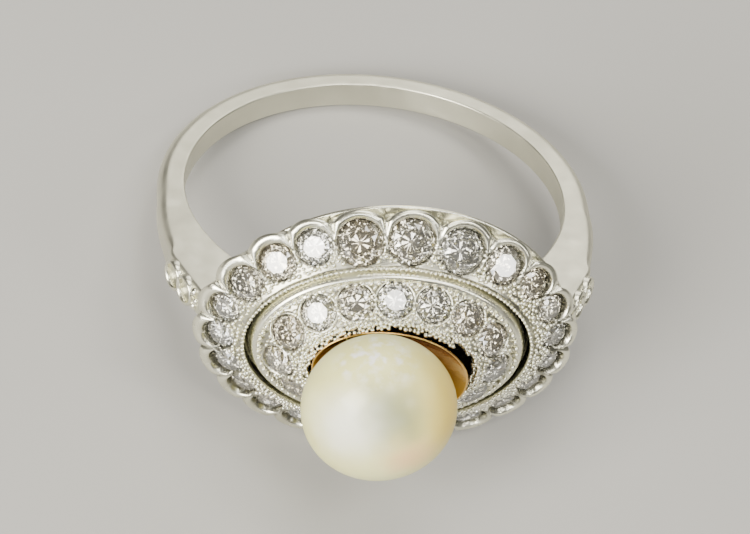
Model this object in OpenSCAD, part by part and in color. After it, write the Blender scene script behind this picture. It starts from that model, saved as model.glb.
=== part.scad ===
// A pearl and diamond cluster ring, lying on its side as it rests by itself.
// Each piece is built with the head facing +Z, the finger along Y and the
// centre of the finger hole at the origin. lying() then lays the ring down.

/* [Hoop] */
// Inner diameter of the hoop
finger_d = 17; // [16.6:0.1:17.4]
// Thickness of the hoop
hoop_t = 1.2; // [1:0.1:1.4]
// Width of the hoop along the finger
hoop_w = 1.2; // [1:0.1:1.6]
// Width of the shoulders beside the head
shoulder_w = 1.4; // [1.35:0.05:1.6]
// Diameter of the two stones in each shoulder
shoulder_stone_d = 0.95; // [0.8:0.05:1]

/* [Outer halo] */
// Length of the head across the finger
head_l = 16.3; // [16:0.1:16.6]
// Width of the head along the finger
head_w = 12.3; // [12:0.1:12.6]
// Height of the scallops' tips above the finger's axis
halo_h = 9.0; // [8.9:0.05:9.2]
// Width of the halo seen from above
halo_plan = 2.05; // [1.95:0.05:2.15]
// Rise of the halo from its tips to its inner edge
halo_rise = 1.5; // [1.4:0.05:1.6]
// Width of the metal arch round each stone, at the right of the head
arch_w = 0.36; // [0.3:0.02:0.42]

/* [Inner tier] */
// Length of the tier at its rim
tier_l = 11.48; // [11.4:0.02:11.6]
// Width of the tier at its rim
tier_w = 7.74; // [7.6:0.02:7.8]
// Length of the opening for the cup
opening_l = 7.5; // [7.3:0.1:7.6]
// Width of the opening for the cup
opening_w = 4.84; // [4.7:0.02:4.9]
// Height of the tier's rim above the finger's axis
tier_h = 10.6; // [10.5:0.05:10.7]
// Rise of the tier from its rim to the opening
tier_rise = 1.4; // [1.3:0.05:1.5]
// Number of stones in the tier
tier_stones = 15; // [13:1:15]
// Diameter of the tier's stones
tier_stone_d = 1.5; // [1.3:0.05:1.55]

/* [Cup and pearl] */
// Length of the cup's rim
cup_l = 6.7; // [6.5:0.1:6.8]
// Width of the cup's rim
cup_w = 4.4; // [4.4:0.02:4.5]
// Height of the cup's rim above the finger's axis
cup_h = 12.4; // [12.36:0.02:12.42]
// How far the cup is turned from the head's long axis
cup_turn = -8; // [-10:1:2]
// Diameter of the pearl
pearl_d = 6.5; // [6.3:0.1:6.5]
// Height of the pearl
pearl_t = 5.4; // [5.3:0.1:5.4]
// Height of the pearl's centre above the finger's axis
pearl_h = 14.58; // [14.58:0.02:14.66]
// How far the pearl sits towards the left shoulder
pearl_shift = 0.6; // [0.4:0.05:0.6]

/* [Pose] */
// How far the head is turned up from the floor
rest_tilt = 16.4; // [0:0.1:20]
// How far the ring leans sideways onto two scallops
rest_roll = -3.5; // [-8:0.1:8]

/* [Hidden] */
finger_r = finger_d / 2;
hoop_r = finger_r + hoop_t;
// Radius of the rounded outside of the hoop
hoop_round_r = 0.8;
head_a = head_l / 2;
head_b = head_w / 2;
tier_a = tier_l / 2;
tier_b = tier_w / 2;
opening_a = opening_l / 2;
opening_b = opening_w / 2;
cup_a = cup_l / 2;
cup_b = cup_w / 2;
halo_slope = atan2(halo_rise, halo_plan);
arch_steps = 6;
tier_steps = 72;
cup_steps = 48;
cut = 20;
$fn = 96;

// Angles of the notches between the scallops, from the right end of the oval: no two are alike,
// and the widest lie beside the top
notch_at = [10.5, 26.5, 41.5, 58, 76, 94, 111.5, 126, 142, 159, 175, 191.5,
    208, 222, 235.5, 249.5, 265, 281, 296.5, 311, 325.5, 340, 354.5];
scallops = len(notch_at);
oval_steps = scallops * arch_steps;
// Radius of an arch's outline in half pitches, and how much wider the arches at the left end are
arch_round = 1.5;
arch_more = 0.2;

// Stones and their seats: how far a girdle is sunk, its clearance, the seat's straight part, the
// smaller hole at its back and the room that a halo stone leaves its neighbours
stone_sink = 0.2;
stone_gap = 0.04;
seat_depth = 0.3;
hole_part = 0.45;
hole_depth = 2;
shoulder_hole_depth = 1.2;
blind_share = 0.7;
stone_room = 0.09;
halo_stone_max_r = 0.98;
pavilion_part = 0.86;

// The shoulder's row of stones: where it starts and ends across and above the finger's axis
strip_start = [9.22, 5.35];
strip_end = [7.9, 8.1];
strip_first = 0.75;
strip_pitch = 1.12;
strip_stones = 2;

// The halo's underside, the groove between halo and tier, and the soldered contacts under them
rail_in = 0.35;
rail_drop = 0.48;
rim_in = 0.85;
groove_h = 9.85;
halo_base_h = 9.4;
solder = 0.1;
tier_base_h = 9.5;
tier_seat_a = tier_a - 0.4;
tier_seat_b = tier_b - 0.35;
lip_in = 0.3;

// The cup's stem and the post that the pearl sits on
stem_r = 0.55;
stem_foot_h = hoop_r + 0.05;
cup_bottom_h = cup_h - 0.75;
post_r = 0.35;
post_top = 13.2;
post_room = 0.05;

// Half an outline of the shoulders: across the finger's hole, then up towards the head. The last
// points reach into the halo beside its rail and beside its inner edge, and stay clear between them
shoulder_outline = [
    [finger_r - 0.4, -1],
    [hoop_r - 0.4, -1],
    [hoop_r, 0.6],
    [hoop_r - 0.02, 2.2],
    [9.46, 3.8],
    [9.2, 5],
    strip_start,
    strip_end,
    [head_a - rail_in + 0.1, halo_h - rail_drop + solder],
    [head_a - rim_in - 0.05, halo_h - rail_drop + solder],
    [head_a - rim_in - 0.15, halo_h - rail_drop - solder],
    [6.4, halo_base_h - 0.45],
    [6.15, halo_base_h - 0.2],
    [6.05, halo_base_h + solder],
    [5.45, halo_base_h + solder],
    [5.4, halo_base_h - 0.2],
    [5.2, 6.6]
];

// Half the shoulders' width along the finger, at heights above the finger's axis
shoulder_widths = [
    [hoop_w / 3, -1],
    [hoop_w / 2, 0.6],
    [shoulder_w / 2, 3.5],
    [shoulder_w / 2, 12]
];

function stone_name(prefix, k) = str(prefix, k < 10 ? "0" : "", k);

// Scallop k, counted from 1, runs from its notch to the next one
function notch_t(k) = notch_at[(k - 1) % scallops] + 360 * floor((k - 1) / scallops);
function scallop_step(k) = notch_t(k + 1) - notch_t(k);

// Half the distance between a scallop's two notches
function halo_t(k) = notch_t(k) + scallop_step(k) / 2;
function half_pitch(k) =
    norm([head_a * sin(halo_t(k)), head_b * cos(halo_t(k))]) * PI / 360 * scallop_step(k);

// How far the scalloped outline lies inside the oval: nothing at a tip, most at a notch
function arch_depth(share) =
    (arch_round - sqrt(pow(arch_round, 2) - pow(2 * share - 1, 2))) * cos(halo_slope);
function notch_depth(k, share) = arch_depth(share)
    * (share == 0 ? (half_pitch(k) + half_pitch((k + scallops - 2) % scallops + 1)) / 2 : half_pitch(k));

// One turn of points at half-axes a and b and height h
function oval_ring(a, b, h, steps) = [
    for (i = [0:steps - 1])
        let (t = i * 360 / steps) [a * cos(t), b * sin(t), h]
];

// The same with points at every notch and between them, cut in at the notches by share
function scalloped_ring(a, b, h, share) = [
    for (k = [1:scallops], i = [0:arch_steps - 1])
        let (part = i / arch_steps, t = notch_t(k) + part * scallop_step(k),
            inset = share * notch_depth(k, part))
        [(a - inset) * cos(t), (b - inset) * sin(t), h]
];
function halo_ring(inset, h, share = 0) = scalloped_ring(head_a - inset, head_b - inset, h, share);

// Two triangles for each step between ring r and ring s of n points
function band(r, s, n) = [
    for (i = [0:n - 1])
        let (j = (i + 1) % n)
        each [[r * n + i, s * n + i, r * n + j], [r * n + j, s * n + i, s * n + j]]
];

// A closed band through rings that go once round its section
module closed_band(rings) {
    n = len(rings[0]);
    m = len(rings);
    polyhedron(points = [for (ring = rings) each ring],
        faces = [for (r = [0:m - 1]) each band(r, (r + 1) % m, n)], convexity = 10);
}

// A solid through rings from its bottom to its top
module stack(rings) {
    n = len(rings[0]);
    m = len(rings);
    polyhedron(points = [for (ring = rings) each ring],
        faces = concat([for (r = [0:m - 2]) each band(r, r + 1, n)],
            [[for (i = [0:n - 1]) i]], [[for (i = [n - 1:-1:0]) (m - 1) * n + i]]),
        convexity = 10);
}

// Stands its children on the oval of half-axes a and b at angle t and height h, leaning out
module on_oval(a, b, t, h, lean) {
    translate([a * cos(t), b * sin(t), h])
        rotate([0, 0, atan2(a * sin(t), b * cos(t))])
            rotate([0, lean, 0]) children();
}

// Halo stones: as large as the pitch and the bed allow, inside an arch of metal
function halo_stone_r(k) = min(0.873 * half_pitch(k) - stone_room, halo_stone_max_r);
function arch_width(k) = arch_w + arch_more * max(0, -cos(halo_t(k)));
function halo_inset(k) = (arch_width(k) + halo_stone_r(k)) * cos(halo_slope);

module at_halo_stone(k) {
    inset = halo_inset(k);
    on_oval(head_a - inset, head_b - inset, halo_t(k), halo_h + inset * tan(halo_slope), halo_slope)
        children();
}

// Tier stones: evenly spaced along the oval through the middle of the tier
tier_mid_a = (tier_a + opening_a) / 2;
tier_mid_b = (tier_b + opening_b) / 2;
tier_mid_h = tier_h + tier_rise / 2 + 0.04;
tier_lean = atan2(tier_rise, (tier_a + tier_b - opening_a - opening_b) / 2);
function tier_speed(t) = norm([tier_mid_a * sin(t), tier_mid_b * cos(t)]) * PI / 180;
tier_table = [for (t = 90, s = 0; t <= 450; s = s + tier_speed(t + 0.5), t = t + 1) [s, t]];
tier_length = tier_table[360][0];
function tier_t(k) = lookup(tier_length * (k - 1) / tier_stones, tier_table);

module at_tier_stone(k) {
    on_oval(tier_mid_a, tier_mid_b, tier_t(k), tier_mid_h, tier_lean) children();
}

// Shoulder stones: a row up the outer face of the shoulder, from beside the hoop to the head
strip_len = norm(strip_end - strip_start);
strip_dir = (strip_end - strip_start) / strip_len;
strip_lean = atan2(strip_dir.y, -strip_dir.x);
function strip_at(k) = strip_first + k * strip_pitch;

module at_shoulder_stone(k) {
    place = strip_start + strip_dir * strip_at(k);
    translate([place.x, 0, place.y]) rotate([0, strip_lean, 0]) children();
}

// One turn of a stone's corners: the points at the table's corners, then those between them
function stone_ring(r_corner, r_between, z_corner, z_between) = [
    for (i = [0:15])
        let (corner = i % 2 == 0)
        [(corner ? r_corner : r_between) * cos(i * 22.5),
         (corner ? r_corner : r_between) * sin(i * 22.5), corner ? z_corner : z_between]
];

// A round stone with a flat table, its girdle's plane sunk below the metal around it
module stone(r) {
    translate([0, 0, -stone_sink]) stack([
        stone_ring(0.09 * r, 0.083 * r, -pavilion_part * r, -pavilion_part * r),
        stone_ring(0.62 * r, 0.5 * r, -0.4 * r, -0.46 * r),
        stone_ring(r, r, -0.05 * r, -0.05 * r),
        stone_ring(r, r, 0, 0),
        stone_ring(0.8 * r, 0.82 * r, 0.16 * r, 0.2 * r),
        stone_ring(0.6 * r, 0.554 * r, 0.32 * r, 0.32 * r)
    ]);
}

// The space a stone takes out of the metal: a round hole, a cone and a smaller hole at the back
module stone_seat(r, depth = hole_depth) {
    rotate_extrude() polygon([[0, 1], [r + stone_gap, 1], [r + stone_gap, -seat_depth],
        [hole_part * r, -seat_depth - (1 - hole_part) * r], [hole_part * r, -depth], [0, -depth]]);
}

// The halo's seats end inside the metal where a shoulder stands under them
function halo_seat_depth(k) = abs(sin(halo_t(k))) < blind_share
    ? stone_sink + pavilion_part * halo_stone_r(k) + stone_gap : hole_depth;

// The hoop: flat inside, rounded outside
module hoop() {
    rotate([90, 0, 0]) rotate_extrude() intersection() {
        translate([finger_r, -hoop_w / 2]) square([hoop_t, hoop_w]);
        translate([hoop_r - hoop_round_r, 0]) circle(r = hoop_round_r);
    }
}

// Both shoulders: the outline across the finger, narrowed towards the hoop
module shoulders() {
    intersection() {
        for (side = [0, 1]) mirror([side, 0, 0])
            rotate([90, 0, 0]) linear_extrude(height = 2 * shoulder_w, center = true)
                polygon(shoulder_outline);
        rotate([90, 0, 90]) linear_extrude(height = 3 * finger_d, center = true)
            polygon(concat(
                [for (p = shoulder_widths) p],
                [for (i = [len(shoulder_widths) - 1:-1:0]) [-shoulder_widths[i].x, shoulder_widths[i].y]]));
    }
}

// The halo: rail, scalloped rim and stone bed, with the ring that carries the tier
module halo() {
    closed_band([
        halo_ring(rail_in, halo_h - rail_drop),
        halo_ring(0.17, halo_h - 0.25),
        halo_ring(0.3, halo_h - 0.08, 0.6),
        halo_ring(0, halo_h + 0.05, 1),
        halo_ring(0.22, halo_h + 0.2, 1),
        halo_ring(1.2, halo_h + 1.2 * tan(halo_slope)),
        halo_ring(halo_plan, halo_h + halo_rise),
        halo_ring(halo_plan, groove_h),
        scalloped_ring(tier_seat_a, tier_seat_b, groove_h, 0),
        scalloped_ring(tier_seat_a, tier_seat_b, halo_base_h, 0),
        halo_ring(halo_plan, halo_base_h),
        halo_ring(rim_in, halo_h - rail_drop)
    ]);
}

// The inner tier: an outer wall, a narrow rim and a stone bed that rises to the opening
module tier() {
    closed_band([
        oval_ring(tier_a - 0.04, tier_b - 0.04, tier_base_h, tier_steps),
        oval_ring(tier_a, tier_b, tier_h, tier_steps),
        oval_ring(tier_a - 0.14, tier_b - 0.14, tier_h + 0.12, tier_steps),
        oval_ring(opening_a, opening_b, tier_h + tier_rise, tier_steps),
        oval_ring(opening_a - lip_in, opening_b - lip_in, tier_h + 0.7, tier_steps),
        oval_ring(opening_a - lip_in, opening_b - lip_in, tier_h + 0.35, tier_steps),
        oval_ring(tier_a - 0.75, tier_b - 0.65, tier_base_h + 0.4, tier_steps),
        oval_ring(tier_a - 0.75, tier_b - 0.65, tier_base_h, tier_steps)
    ]);
}

// The hoop with its shoulders, open for the finger and for the shoulders' stones
module shank() {
    difference() {
        union() {
            hoop();
            shoulders();
        }
        rotate([90, 0, 0]) cylinder(r = finger_r, h = cut, center = true);
        for (side = [0, 1], k = [0:strip_stones - 1]) mirror([side, 0, 0])
            at_shoulder_stone(k) stone_seat(shoulder_stone_d / 2, shoulder_hole_depth);
    }
}

// The white metal, soldered into one piece
module mount() {
    color("gainsboro") lying() union() {
        shank();
        difference() {
            halo();
            for (k = [1:scallops]) at_halo_stone(k)
                stone_seat(halo_stone_r(k), halo_seat_depth(k));
        }
        difference() {
            tier();
            for (k = [1:tier_stones]) at_tier_stone(k) stone_seat(tier_stone_d / 2);
        }
    }
}

module halo_stone(k) {
    color("white") lying() at_halo_stone(k) stone(halo_stone_r(k));
}

module tier_stone(k) {
    color("white") lying() at_tier_stone(k) stone(tier_stone_d / 2);
}

module shoulder_stones(side) {
    color("white") lying() mirror([side, 0, 0])
        for (k = [0:strip_stones - 1]) at_shoulder_stone(k) stone(shoulder_stone_d / 2);
}

// The gold cup: an oval dish on a stem, with the post that holds the pearl
module pearl_cup() {
    color("goldenrod") lying() union() {
        rotate([0, 0, cup_turn]) stack([
            oval_ring(0.4 * cup_a, 0.4 * cup_b, cup_h - 0.95, cup_steps),
            oval_ring(0.86 * cup_a, 0.86 * cup_b, cup_h - 0.45, cup_steps),
            oval_ring(cup_a, cup_b, cup_h - 0.06, cup_steps),
            oval_ring(cup_a - 0.04, cup_b - 0.04, cup_h, cup_steps),
            oval_ring(cup_a - 0.12, cup_b - 0.12, cup_h - 0.04, cup_steps),
            oval_ring(0.74 * cup_a, 0.74 * cup_b, cup_h - 0.4, cup_steps),
            oval_ring(0.35 * cup_a, 0.35 * cup_b, cup_h - 0.66, cup_steps)
        ]);
        translate([0, 0, stem_foot_h]) cylinder(r = stem_r, h = cup_bottom_h - stem_foot_h);
        translate([-pearl_shift, 0, cup_bottom_h]) cylinder(r = post_r, h = post_top - cup_bottom_h);
    }
}

// The pearl: a button pearl, drilled for its post
module pearl() {
    color("ivory") lying() difference() {
        translate([-pearl_shift, 0, pearl_h])
            scale([1, 1, pearl_t / pearl_d]) sphere(r = pearl_d / 2);
        translate([-pearl_shift, 0, 0]) cylinder(r = post_r + post_room, h = post_top + 2 * post_room);
    }
}

// Lays the ring on its side: the head to the front, turned up, and leaning sideways
module lying() {
    rotate([90 - rest_tilt, rest_roll, 0]) children();
}

mount();
pearl_cup();
pearl();
shoulder_stones(1);  // shoulder_stones_left
shoulder_stones(0);  // shoulder_stones_right
for (k = [1:scallops]) halo_stone(k);
for (k = [1:tier_stones]) tier_stone(k);
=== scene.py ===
import math

import bpy
import numpy as np
from mathutils import Matrix, Vector


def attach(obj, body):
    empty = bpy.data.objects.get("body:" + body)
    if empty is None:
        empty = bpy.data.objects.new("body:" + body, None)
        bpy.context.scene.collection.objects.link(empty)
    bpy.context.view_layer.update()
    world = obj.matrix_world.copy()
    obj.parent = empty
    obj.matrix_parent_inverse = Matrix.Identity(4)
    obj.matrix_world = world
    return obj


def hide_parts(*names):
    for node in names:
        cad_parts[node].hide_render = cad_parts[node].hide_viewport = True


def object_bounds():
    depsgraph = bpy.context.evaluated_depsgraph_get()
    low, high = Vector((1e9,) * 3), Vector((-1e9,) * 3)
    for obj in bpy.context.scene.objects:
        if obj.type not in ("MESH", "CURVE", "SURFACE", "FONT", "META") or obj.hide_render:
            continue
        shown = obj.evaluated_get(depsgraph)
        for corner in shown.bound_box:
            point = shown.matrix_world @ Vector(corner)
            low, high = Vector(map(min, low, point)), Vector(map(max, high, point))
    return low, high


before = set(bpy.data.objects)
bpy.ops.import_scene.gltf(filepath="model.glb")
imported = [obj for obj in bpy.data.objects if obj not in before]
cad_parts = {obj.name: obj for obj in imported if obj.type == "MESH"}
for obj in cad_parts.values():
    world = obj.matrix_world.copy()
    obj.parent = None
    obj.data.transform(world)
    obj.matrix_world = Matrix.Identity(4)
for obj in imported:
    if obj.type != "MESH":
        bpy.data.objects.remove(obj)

# The looks of a pearl and diamond cluster ring. Shapes are worked out in millimetres in the ring's
# own frame: x to the right across the finger, y along the finger, z from its axis towards the head.
# Painted shade, from 0 to 1, says how much the metal at a point is darkened, as where shade falls
# in a crevice.
CAD_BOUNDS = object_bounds()
MM = 0.001
UP = np.array([0.0, 0.0, 1.0])

# Hoop and shoulders; the strip is the row of stones up a shoulder's outer face
FINGER_R = 8.5
HOOP_R = 9.7
STRIP_START = (9.22, 5.35)
STRIP_END = (7.9, 8.1)
STRIP_FIRST = 0.75
STRIP_PITCH = 1.12
STRIP_STONES = 2
STRIP_STONE_R = 0.475

# Outer halo: its oval, the angles of its notches in degrees, and its heights
HEAD_A, HEAD_B = 8.15, 6.15
NOTCH_AT = (10.5, 26.5, 41.5, 58, 76, 94, 111.5, 126, 142, 159, 175, 191.5,
            208, 222, 235.5, 249.5, 265, 281, 296.5, 311, 325.5, 340, 354.5)
SCALLOPS = len(NOTCH_AT)
HALO_H = 9.0
HALO_PLAN = 2.05
HALO_RISE = 1.5
HALO_SLOPE = math.atan2(HALO_RISE, HALO_PLAN)
GROOVE_H = 9.85
HALO_BASE_H = 9.4
UNDERSIDE_IN = 0.9
UNDERSIDE_H = 8.53

# The arches round the halo's stones: how round the scallops are in half pitches, the arches' width
# at the right end and how much wider they are at the left one, and how high they rise
ARCH_ROUND = 1.5
ARCH_W = 0.36
ARCH_MORE = 0.2
ARCH_RISE = 0.27

# The halo's stones: their share of a half pitch, less their room, up to a largest radius
PITCH_PART = 0.873
STONE_ROOM = 0.09
HALO_STONE_MAX_R = 0.98

# The seats: a short wall and a cone down to a hole, whose radius is a part of the stone's, and how
# much painted shade darkens them
SEAT_WALL = 0.32
SEAT_CONE = 0.75
HOLE_PART = 0.45
SEAT_DARK = 0.85

# Inner tier, with the flange inside its opening, a sheet painted dark as shade
TIER_A, TIER_B = 5.74, 3.87
OPENING_A, OPENING_B = 3.75, 2.42
TIER_H = 10.6
TIER_RISE = 1.4
TIER_BASE_H = 9.5
TIER_MID_A = (TIER_A + OPENING_A) / 2
TIER_MID_B = (TIER_B + OPENING_B) / 2
TIER_LEAN = math.atan2(TIER_RISE, (TIER_A + TIER_B - OPENING_A - OPENING_B) / 2)
TIER_FOOT_A, TIER_FOOT_B = TIER_A - 0.75, TIER_B - 0.65
LIP_IN = 0.3
FLANGE_IN = 1.4
TIER_STONES = 15
TIER_STONE_R = 0.75
TIER_STONE_UP = 0.04
TIER_HOLE_DEPTH = 0.85

# Cup and pearl
CUP_A, CUP_B = 3.35, 2.2
CUP_H = 12.4
CUP_TURN = -8
STEM_R = 0.55
PEARL_R = 3.25
PEARL_HALF_T = 2.7
PEARL_H = 14.58
PEARL_SHIFT = 0.6

# How the ring lies, in degrees
REST_TILT = 16.4
REST_ROLL = -3.5
LIE = (Matrix.Rotation(math.radians(REST_ROLL), 3, "Y")
       @ Matrix.Rotation(math.radians(90 - REST_TILT), 3, "X"))
LIE_NP = np.array(LIE)


def to_row(points):
    """Points of the ring's frame in millimetres, laid down and in metres."""
    return np.asarray(points, float) @ LIE_NP.T * MM


def smoothstep(low, high, x):
    """0 at low and 1 at high, with a smooth rise between them; low may be the larger one."""
    t = np.clip((x - low) / (high - low), 0, 1)
    return t * t * (3 - 2 * t)


def between(first, last, share):
    return first + (last - first) * share


# Meshes

def make_mesh(name, points, faces, material, painted_shade=None):
    """One smooth mesh object from points of the ring's frame, a list of face rows and the painted
    shade at its points.
    """
    mesh = bpy.data.meshes.new(name)
    mesh.from_pydata(to_row(points).tolist(), [], [list(map(int, f)) for f in faces])
    mesh.validate()
    mesh.update()
    mesh.shade_smooth()
    if painted_shade is not None:
        mesh.attributes.new("painted_shade", "FLOAT", "POINT").data.foreach_set("value", painted_shade)
    mesh.materials.append(material)
    piece = bpy.data.objects.new(name, mesh)
    bpy.context.scene.collection.objects.link(piece)
    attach(piece, "root")
    return piece


def grid_faces(rows, cols, close_rows):
    """Quads of closed rows of points, facing out where the rows rise on the outside."""
    faces = []
    for r in range(rows if close_rows else rows - 1):
        s = (r + 1) % rows
        for c in range(cols):
            d = (c + 1) % cols
            faces.append((r * cols + c, r * cols + d, s * cols + d, s * cols + c))
    return faces


def rings_mesh(name, rings, material, close_rows=False, caps=False, keep=None, painted_shade=None):
    """A surface through rings of points, each ring closed; keep says which face centres stay.

    The painted shade has a number, or one number for each point, for every ring.
    """
    rings = [np.asarray(r, float) for r in rings]
    cols = len(rings[0])
    points = np.vstack(rings)
    faces = grid_faces(len(rings), cols, close_rows)
    if keep is not None:
        centres = points[np.array(faces)].mean(axis=1)
        faces = [f for f, stays in zip(faces, keep(centres)) if stays]
    if caps:
        faces.append(tuple(reversed(range(cols))))
        last = (len(rings) - 1) * cols
        faces.append(tuple(last + c for c in range(cols)))
    if painted_shade is not None:
        painted_shade = np.concatenate([np.broadcast_to(value, cols) for value in painted_shade])
    return make_mesh(name, points, faces, material, painted_shade)


def ball(detail):
    """Points and triangles of a unit ball: an icosahedron divided detail times."""
    g = (1 + 5 ** 0.5) / 2
    points = [(-1, g, 0), (1, g, 0), (-1, -g, 0), (1, -g, 0), (0, -1, g), (0, 1, g), (0, -1, -g),
              (0, 1, -g), (g, 0, -1), (g, 0, 1), (-g, 0, -1), (-g, 0, 1)]
    faces = [(0, 11, 5), (0, 5, 1), (0, 1, 7), (0, 7, 10), (0, 10, 11), (1, 5, 9), (5, 11, 4),
             (11, 10, 2), (10, 7, 6), (7, 1, 8), (3, 9, 4), (3, 4, 2), (3, 2, 6), (3, 6, 8),
             (3, 8, 9), (4, 9, 5), (2, 4, 11), (6, 2, 10), (8, 6, 7), (9, 8, 1)]
    points = [np.array(p) / np.linalg.norm(p) for p in points]
    for _ in range(detail):
        middle = {}
        divided = []

        def mid(i, j):
            key = (min(i, j), max(i, j))
            if key not in middle:
                p = points[i] + points[j]
                points.append(p / np.linalg.norm(p))
                middle[key] = len(points) - 1
            return middle[key]

        for a, b, c in faces:
            ab, bc, ca = mid(a, b), mid(b, c), mid(c, a)
            divided += [(a, ab, ca), (b, bc, ab), (c, ca, bc), (ab, bc, ca)]
        faces = divided
    return np.array(points), np.array(faces)


def beads_mesh(name, centres, radii, detail=1):
    """Many small balls of white metal as one piece."""
    unit, tri = ball(detail)
    points = np.vstack([c + r * unit for c, r in zip(centres, radii)])
    faces = np.vstack([tri + k * len(unit) for k in range(len(centres))])
    piece = make_mesh(name, points, faces, BEAD)


# The ovals and what stands on them

def oval(a, b, t, h):
    """Points at angle t of the oval of half-axes a and b at height h, each a number or an array."""
    return np.stack(np.broadcast_arrays(a * np.cos(t), b * np.sin(t), h), axis=-1)


def halo_oval(t, inset, h):
    """The same on the halo's oval, inset by a plan distance."""
    return oval(HEAD_A - inset, HEAD_B - inset, t, h)


def outward(a, b, t):
    """The plan direction square to the oval at t."""
    n = np.stack([b * np.cos(t), a * np.sin(t), np.zeros_like(t)], axis=-1)
    return n / np.linalg.norm(n, axis=-1, keepdims=True)


def bed_normal(a, b, t, lean):
    """The direction square to a bed that slopes by lean."""
    return outward(a, b, t) * math.sin(lean) + UP * math.cos(lean)


def even_angles(a, b, count):
    """Angles of count points evenly spaced along the oval, the first one at its upper side."""
    t = np.linspace(math.pi / 2, 5 * math.pi / 2, 3601)
    s = np.linalg.norm(np.diff(oval(a, b, t, 0.0), axis=0), axis=1)
    s = np.concatenate([[0], np.cumsum(s)])
    return np.interp(np.arange(count) / count * s[-1], s, t)


# Each scallop's middle angle and half the distance between its two notches
NOTCHES = np.radians(NOTCH_AT + (NOTCH_AT[0] + 360,))
STEPS = np.diff(NOTCHES)
HALO_T = NOTCHES[:-1] + STEPS / 2
HALF_PITCH = np.hypot(HEAD_A * np.sin(HALO_T), HEAD_B * np.cos(HALO_T)) * STEPS / 2


def notch_depth(share):
    """How far the scalloped outline lies inside the oval, for points along every scallop."""
    across = 2 * share - 1
    depth = (ARCH_ROUND - np.sqrt(ARCH_ROUND ** 2 - across ** 2)) * math.cos(HALO_SLOPE)
    before = (HALF_PITCH + np.roll(HALF_PITCH, 1)) / 2
    after = np.roll(before, -1)
    own = HALF_PITCH[:, None]
    at_notch = np.where(share < 0.5, before[:, None], after[:, None])
    return depth * (own + (at_notch - own) * across ** 4)


class Seat:
    """Where one stone sits: its centre on the metal, its axis, its radius and its arch's width."""

    def __init__(self, centre, plan_dir, lean, radius, arch=0.0):
        self.centre = np.asarray(centre, float)
        self.radius = radius
        self.arch = arch
        self.axis = plan_dir * math.sin(lean) + UP * math.cos(lean)
        self.down = plan_dir * math.cos(lean) - UP * math.sin(lean)
        self.side = np.cross(self.axis, self.down)

    def at(self, down, side, height):
        return self.centre + self.down * down + self.side * side + self.axis * height

    def circle(self, radius, turn, height):
        return [self.at(radius * math.cos(a), radius * math.sin(a), height) for a in turn]


def halo_seats():
    seats = []
    for t, half in zip(HALO_T, HALF_PITCH):
        radius = min(PITCH_PART * half - STONE_ROOM, HALO_STONE_MAX_R)
        arch = ARCH_W + ARCH_MORE * max(0, -math.cos(t))
        inset = (arch + radius) * math.cos(HALO_SLOPE)
        centre = halo_oval(t, inset, HALO_H + inset * math.tan(HALO_SLOPE))
        plan_dir = outward(HEAD_A - inset, HEAD_B - inset, t)
        seats.append(Seat(centre, plan_dir, HALO_SLOPE, radius, arch))
    return seats


def tier_seats():
    seats = []
    for t in even_angles(TIER_MID_A, TIER_MID_B, TIER_STONES):
        centre = oval(TIER_MID_A, TIER_MID_B, t, TIER_H + TIER_RISE / 2 + TIER_STONE_UP)
        plan_dir = outward(TIER_MID_A, TIER_MID_B, t)
        seats.append(Seat(centre, plan_dir, TIER_LEAN, TIER_STONE_R))
    return seats


def shoulder_seats(side):
    """The seats of one shoulder; side is 1 at the right and -1 at the left."""
    start, end = np.array(STRIP_START), np.array(STRIP_END)
    along = (end - start) / np.linalg.norm(end - start)
    lean = math.atan2(along[1], -along[0])
    seats = []
    for k in range(STRIP_STONES):
        x, z = start + along * (STRIP_FIRST + k * STRIP_PITCH)
        seats.append(Seat((x * side, 0, z), np.array([side, 0, 0]), lean, STRIP_STONE_R))
    return seats


def nearest(points, seats, columns_per_seat, offset=0.0):
    """For a grid of points (rows, columns, 3), where each lies among the stones.

    Returns the distance to the nearest stone's edge and to the second nearest one's, how far down
    the slope of the nearest stone the point lies, as a cosine, and how wide that stone's arch is.
    """
    rows, cols, _ = points.shape
    first = np.full((rows, cols), np.inf)
    second = np.full((rows, cols), np.inf)
    cosine = np.zeros((rows, cols))
    arch = np.zeros((rows, cols))
    base = np.floor((np.arange(cols) + offset) / columns_per_seat).astype(int)
    for step in (-1, 0, 1):
        index = (base + step) % len(seats)
        centre = np.array([s.centre for s in seats])[index]
        axis = np.array([s.axis for s in seats])[index]
        down = np.array([s.down for s in seats])[index]
        radius = np.array([s.radius for s in seats])[index]
        q = points - centre[None]
        q = q - np.sum(q * axis[None], axis=2, keepdims=True) * axis[None]
        d = np.linalg.norm(q, axis=2)
        gap = d - radius[None]
        closer = gap < first
        second = np.where(closer, first, np.minimum(second, gap))
        first = np.where(closer, gap, first)
        cosine = np.where(closer, np.sum(q * down[None], axis=2) / np.maximum(d, 1e-6), cosine)
        arch = np.where(closer, np.array([s.arch for s in seats])[index][None], arch)
    return first, second, cosine, arch


NEAR_PLANE = 2.0


def edge_distance(points, seats):
    """Each point's distance to the nearest stone's edge, and to its axis in parts of its radius.

    A stone counts only for points that lie within NEAR_PLANE of its plane.
    """
    gap = np.full(len(points), np.inf)
    share = np.full(len(points), np.inf)
    for seat in seats:
        q = points - seat.centre
        height = q @ seat.axis
        d = np.linalg.norm(q - height[:, None] * seat.axis, axis=1)
        d = np.where(np.abs(height) > NEAR_PLANE, np.inf, d)
        closer = d - seat.radius < gap
        share = np.where(closer, d / seat.radius, share)
        gap = np.where(closer, d - seat.radius, gap)
    return gap, share


def outside_holes(seats):
    """A test that leaves the faces out where a stone's seat is open at its back."""
    return lambda centres: edge_distance(centres, seats)[1] > 0.96 * HOLE_PART


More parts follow.
